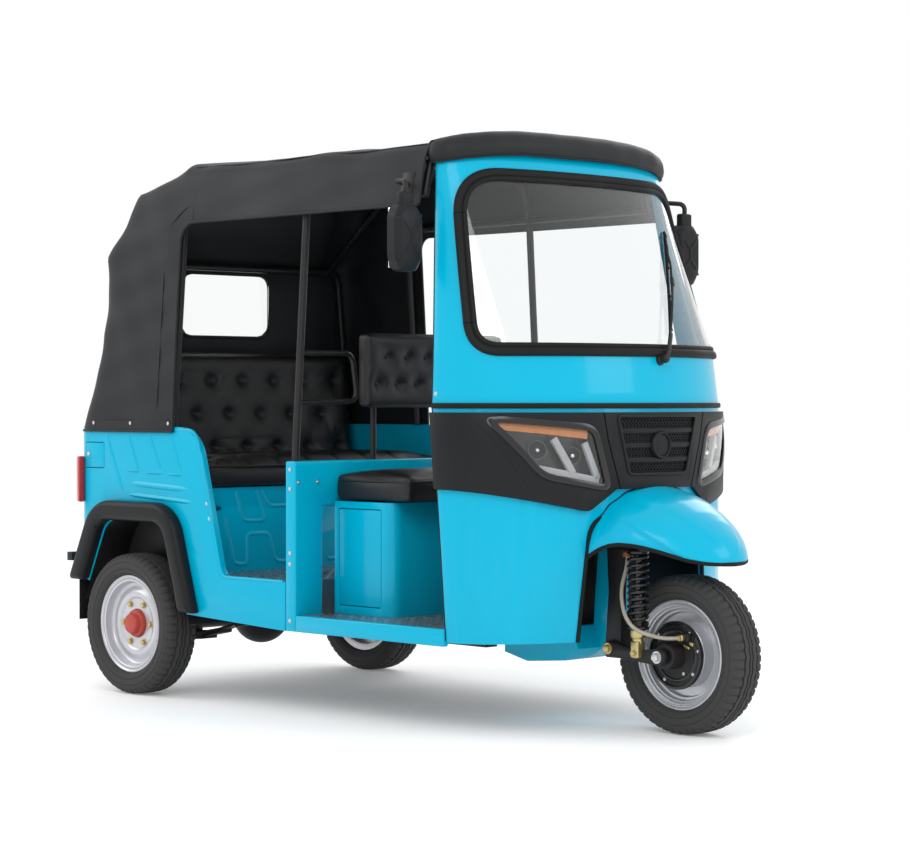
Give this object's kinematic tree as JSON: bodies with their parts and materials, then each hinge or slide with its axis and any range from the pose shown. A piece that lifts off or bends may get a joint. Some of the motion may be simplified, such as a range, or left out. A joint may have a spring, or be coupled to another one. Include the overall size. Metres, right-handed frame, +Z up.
{
  "type": "passenger motor tricycle",
  "caption": "Passenger motor tricycle with a canvas top, wraparound windscreen, padded bench, driver seat on a box, leading-link front wheel and flared rear arches.",
  "frame": {"origin": "on the ground under the middle of the bounding box", "axes": "+X forward, +Y to the vehicle's left, +Z up"},
  "size_m": [2.633, 1.412, 1.8383],
  "materials": {
    "body_paint": "glossy turquoise paint",
    "frame_black": "satin black paint",
    "canvas": "black coated canvas",
    "trim_plastic": "black grained plastic",
    "soft_rubber": "black rubber",
    "clear_glass": "clear",
    "seat_hide": "black grained leather cloth",
    "floor_plate": "chequered plate",
    "tyre_rubber": "black road tyre",
    "rim_silver": "silver paint",
    "hub_red": "red paint",
    "hose_braid": "braided sleeve",
    "lamp_red": "red lens",
    "lamp_bowl": "dark bowl",
    "engine_metal": "cast"
  },
  "bodies": {
    "chassis": {"arch_flares": "trim_plastic", "backrest_posts": "frame_black", "belt_trim": "soft_rubber", "bench_backrest": "seat_hide", "bench_base": "body_paint", "bench_cushion": "seat_hide", "bulkhead": "body_paint", "canopy": "canvas", "canopy_frame": "frame_black", "chassis_frame": "frame_black", "dash_shelf": "trim_plastic", "door_sills": "body_paint", "drive_shaft": "frame_black", "driver_backrest": "seat_hide", "driver_cushion": "seat_hide", "driver_floor": "floor_plate", "engine_block": "engine_metal", "front_fender": "body_paint", "front_frame": "body_paint", "grille": "trim_plastic", "headlamp_bowls": "lamp_bowl", "headlamp_lenses": "clear_glass", "lamp_band": "trim_plastic", "leaf_springs": "frame_black", "mirror_arms": "frame_black", "mirror_shells": "trim_plastic", "mud_flaps": "soft_rubber", "nose_panel": "body_paint", "partition": "body_paint", "passenger_floor": "floor_plate", "quarter_left": "body_paint", "quarter_right": "body_paint", "rear_axle": "frame_black", "rear_bumper": "frame_black", "rear_window": "clear_glass", "roof_visor": "canvas", "seat_box": "body_paint", "tail_lamps": "lamp_red", "tail_panel": "body_paint", "wheel_housings": "frame_black", "windscreen": "clear_glass", "windscreen_panel": "body_paint", "windscreen_seal": "soft_rubber", "wiper": "frame_black"},
    "steering": {"steering_fork": "frame_black", "handlebar": "frame_black", "front_link": "frame_black", "front_shock": "frame_black", "brake_plate": "frame_black", "brake_hose": "hose_braid"},
    "front_wheel": {"front_tyre": "tyre_rubber", "front_rim": "rim_silver"},
    "rear_wheel_right": {"rear_tyre_right": "tyre_rubber", "rear_rim_right": "rim_silver", "rear_hub_right": "hub_red"},
    "rear_wheel_left": {"rear_tyre_left": "tyre_rubber", "rear_rim_left": "rim_silver", "rear_hub_left": "hub_red"},
    "fuel_flap": {"fuel_flap": "body_paint"},
    "seat_box_door": {"seat_box_door": "body_paint"}
  },
  "joints": [
    {"name": "steering", "type": "hinge", "parent": "chassis", "child": "steering", "pos_m": [0.83258, 0, 0.7], "axis": [-0.3971, 0, 0.9178], "range_deg": [-40, 40]},
    {"name": "front_wheel_spin", "type": "hinge", "parent": "steering", "child": "front_wheel", "pos_m": [1.0735, 0, 0.243], "axis": [0, 1, 0], "continuous": true},
    {"name": "rear_right_spin", "type": "hinge", "parent": "chassis", "child": "rear_wheel_right", "pos_m": [-0.9465, -0.545, 0.243], "axis": [0, 1, 0], "continuous": true},
    {"name": "rear_left_spin", "type": "hinge", "parent": "chassis", "child": "rear_wheel_left", "pos_m": [-0.9465, 0.545, 0.243], "axis": [0, 1, 0], "continuous": true},
    {"name": "fuel_flap_hinge", "type": "hinge", "parent": "chassis", "child": "fuel_flap", "pos_m": [-1.0985, -0.59, 0.824], "axis": [0, 0, 1], "range_deg": [0, 100]},
    {"name": "seat_box_door_hinge", "type": "hinge", "parent": "chassis", "child": "seat_box_door", "pos_m": [0.1505, -0.425, 0.509], "axis": [0, 0, 1], "range_deg": [0, 110]}
  ]
}
